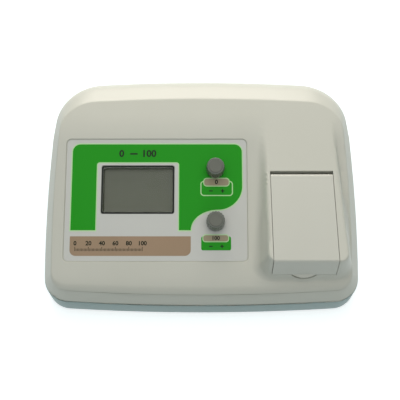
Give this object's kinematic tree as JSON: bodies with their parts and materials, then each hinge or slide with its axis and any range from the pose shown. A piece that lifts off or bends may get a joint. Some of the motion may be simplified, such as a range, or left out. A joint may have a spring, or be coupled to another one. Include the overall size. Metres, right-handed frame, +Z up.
{
  "type": "benchtop colorimeter",
  "caption": "Low laboratory colorimeter with a sloping panel, a display, control knobs and a lidded sample chamber that takes a cell.",
  "frame": {"origin": "centre of the case's box on the bench, at the undersides of the feet", "axes": "+X to the user's right, +Y to the rear, +Z up"},
  "size_m": [0.2706, 0.204, 0.0794],
  "materials": {
    "case_abs": "warm off-white ABS, fine spark texture",
    "lid_abs": "warm off-white ABS, fine spark texture",
    "base_abs": "light grey ABS, fine spark texture",
    "panel_film": "printed polycarbonate film, green, white and brown",
    "window_clear": "clear acrylic with a black printed border",
    "lcd_cell": "olive display cell",
    "black_abs": "black ABS, matt",
    "contact_rubber": "conductive elastomer strip",
    "circuit_board": "green solder mask",
    "zinc_steel": "zinc-plated steel",
    "spring_steel": "spring steel",
    "knob_grey": "dark grey moulded knob",
    "cap_grey": "mid grey knob cap",
    "pot_case": "moulded potentiometer case",
    "foam_black": "black foam rubber",
    "foot_rubber": "black rubber",
    "filter_glass": "coloured filter glass",
    "lens_glass": "polished optical glass",
    "led_clear": "clear epoxy lamp",
    "diode_metal": "metal can with a glass window",
    "chip_black": "moulded chip packages",
    "capacitor_sleeve": "sleeved aluminium capacitors",
    "core_iron": "laminated transformer iron",
    "winding_tape": "taped copper winding",
    "panel_metal": "brushed aluminium plate",
    "contact_metal": "nickel-plated brass blades"
  },
  "bodies": {
    "case": {"top_cover": "case_abs", "base_tray": "base_abs", "case_feet": "foot_rubber", "case_screws": "zinc_steel", "panel_overlay": "panel_film", "display_window": "window_clear", "lcd_glass": "lcd_cell", "lcd_frame": "black_abs", "lcd_contact_strips": "contact_rubber", "display_board": "circuit_board", "display_screws": "zinc_steel", "zero_pot": "pot_case", "span_pot": "pot_case", "lid_hinge_pin": "zinc_steel", "chamber_tray": "black_abs", "block_screws": "zinc_steel", "optical_block": "black_abs", "cell_spring": "spring_steel", "colour_filter": "filter_glass", "condenser_lens": "lens_glass", "lamp_holder": "black_abs", "lamp": "led_clear", "photodiode": "diode_metal", "detector_board": "circuit_board", "detector_screws": "zinc_steel", "main_board": "circuit_board", "board_screws": "zinc_steel", "board_chips": "chip_black", "board_capacitors": "capacitor_sleeve", "transformer_core": "core_iron", "transformer_windings": "winding_tape", "rear_panel": "panel_metal", "rear_panel_screws": "zinc_steel", "power_inlet": "black_abs", "inlet_pins": "contact_metal", "fuse_holder": "black_abs", "fuse_cap": "black_abs", "switch_frame": "black_abs"},
    "lid": {"chamber_lid": "lid_abs", "lid_seal": "foam_black"},
    "zero_control": {"zero_knob": "knob_grey", "zero_knob_cap": "cap_grey", "zero_shaft": "zinc_steel"},
    "span_control": {"span_knob": "knob_grey", "span_knob_cap": "cap_grey", "span_shaft": "zinc_steel"},
    "rocker": {"switch_rocker": "black_abs"}
  },
  "joints": [
    {"name": "lid_hinge", "type": "hinge", "parent": "case", "child": "lid", "pos_m": [0.085, -0.0029, 0.069], "axis": [-1, 0, 0], "range_deg": [0, 100]},
    {"name": "zero_turn", "type": "hinge", "parent": "case", "child": "zero_control", "pos_m": [0.012, 0.0079, 0.06485], "axis": [0, -0.2192, 0.9757], "range_deg": [-150, 150]},
    {"name": "span_turn", "type": "hinge", "parent": "case", "child": "span_control", "pos_m": [0.012, -0.03698, 0.05477], "axis": [0, -0.2192, 0.9757], "range_deg": [-150, 150]},
    {"name": "power_rock", "type": "hinge", "parent": "case", "child": "rocker", "pos_m": [0.04, 0.0938, 0.03075], "axis": [-1, 0, 0], "range_deg": [0, 24]}
  ]
}
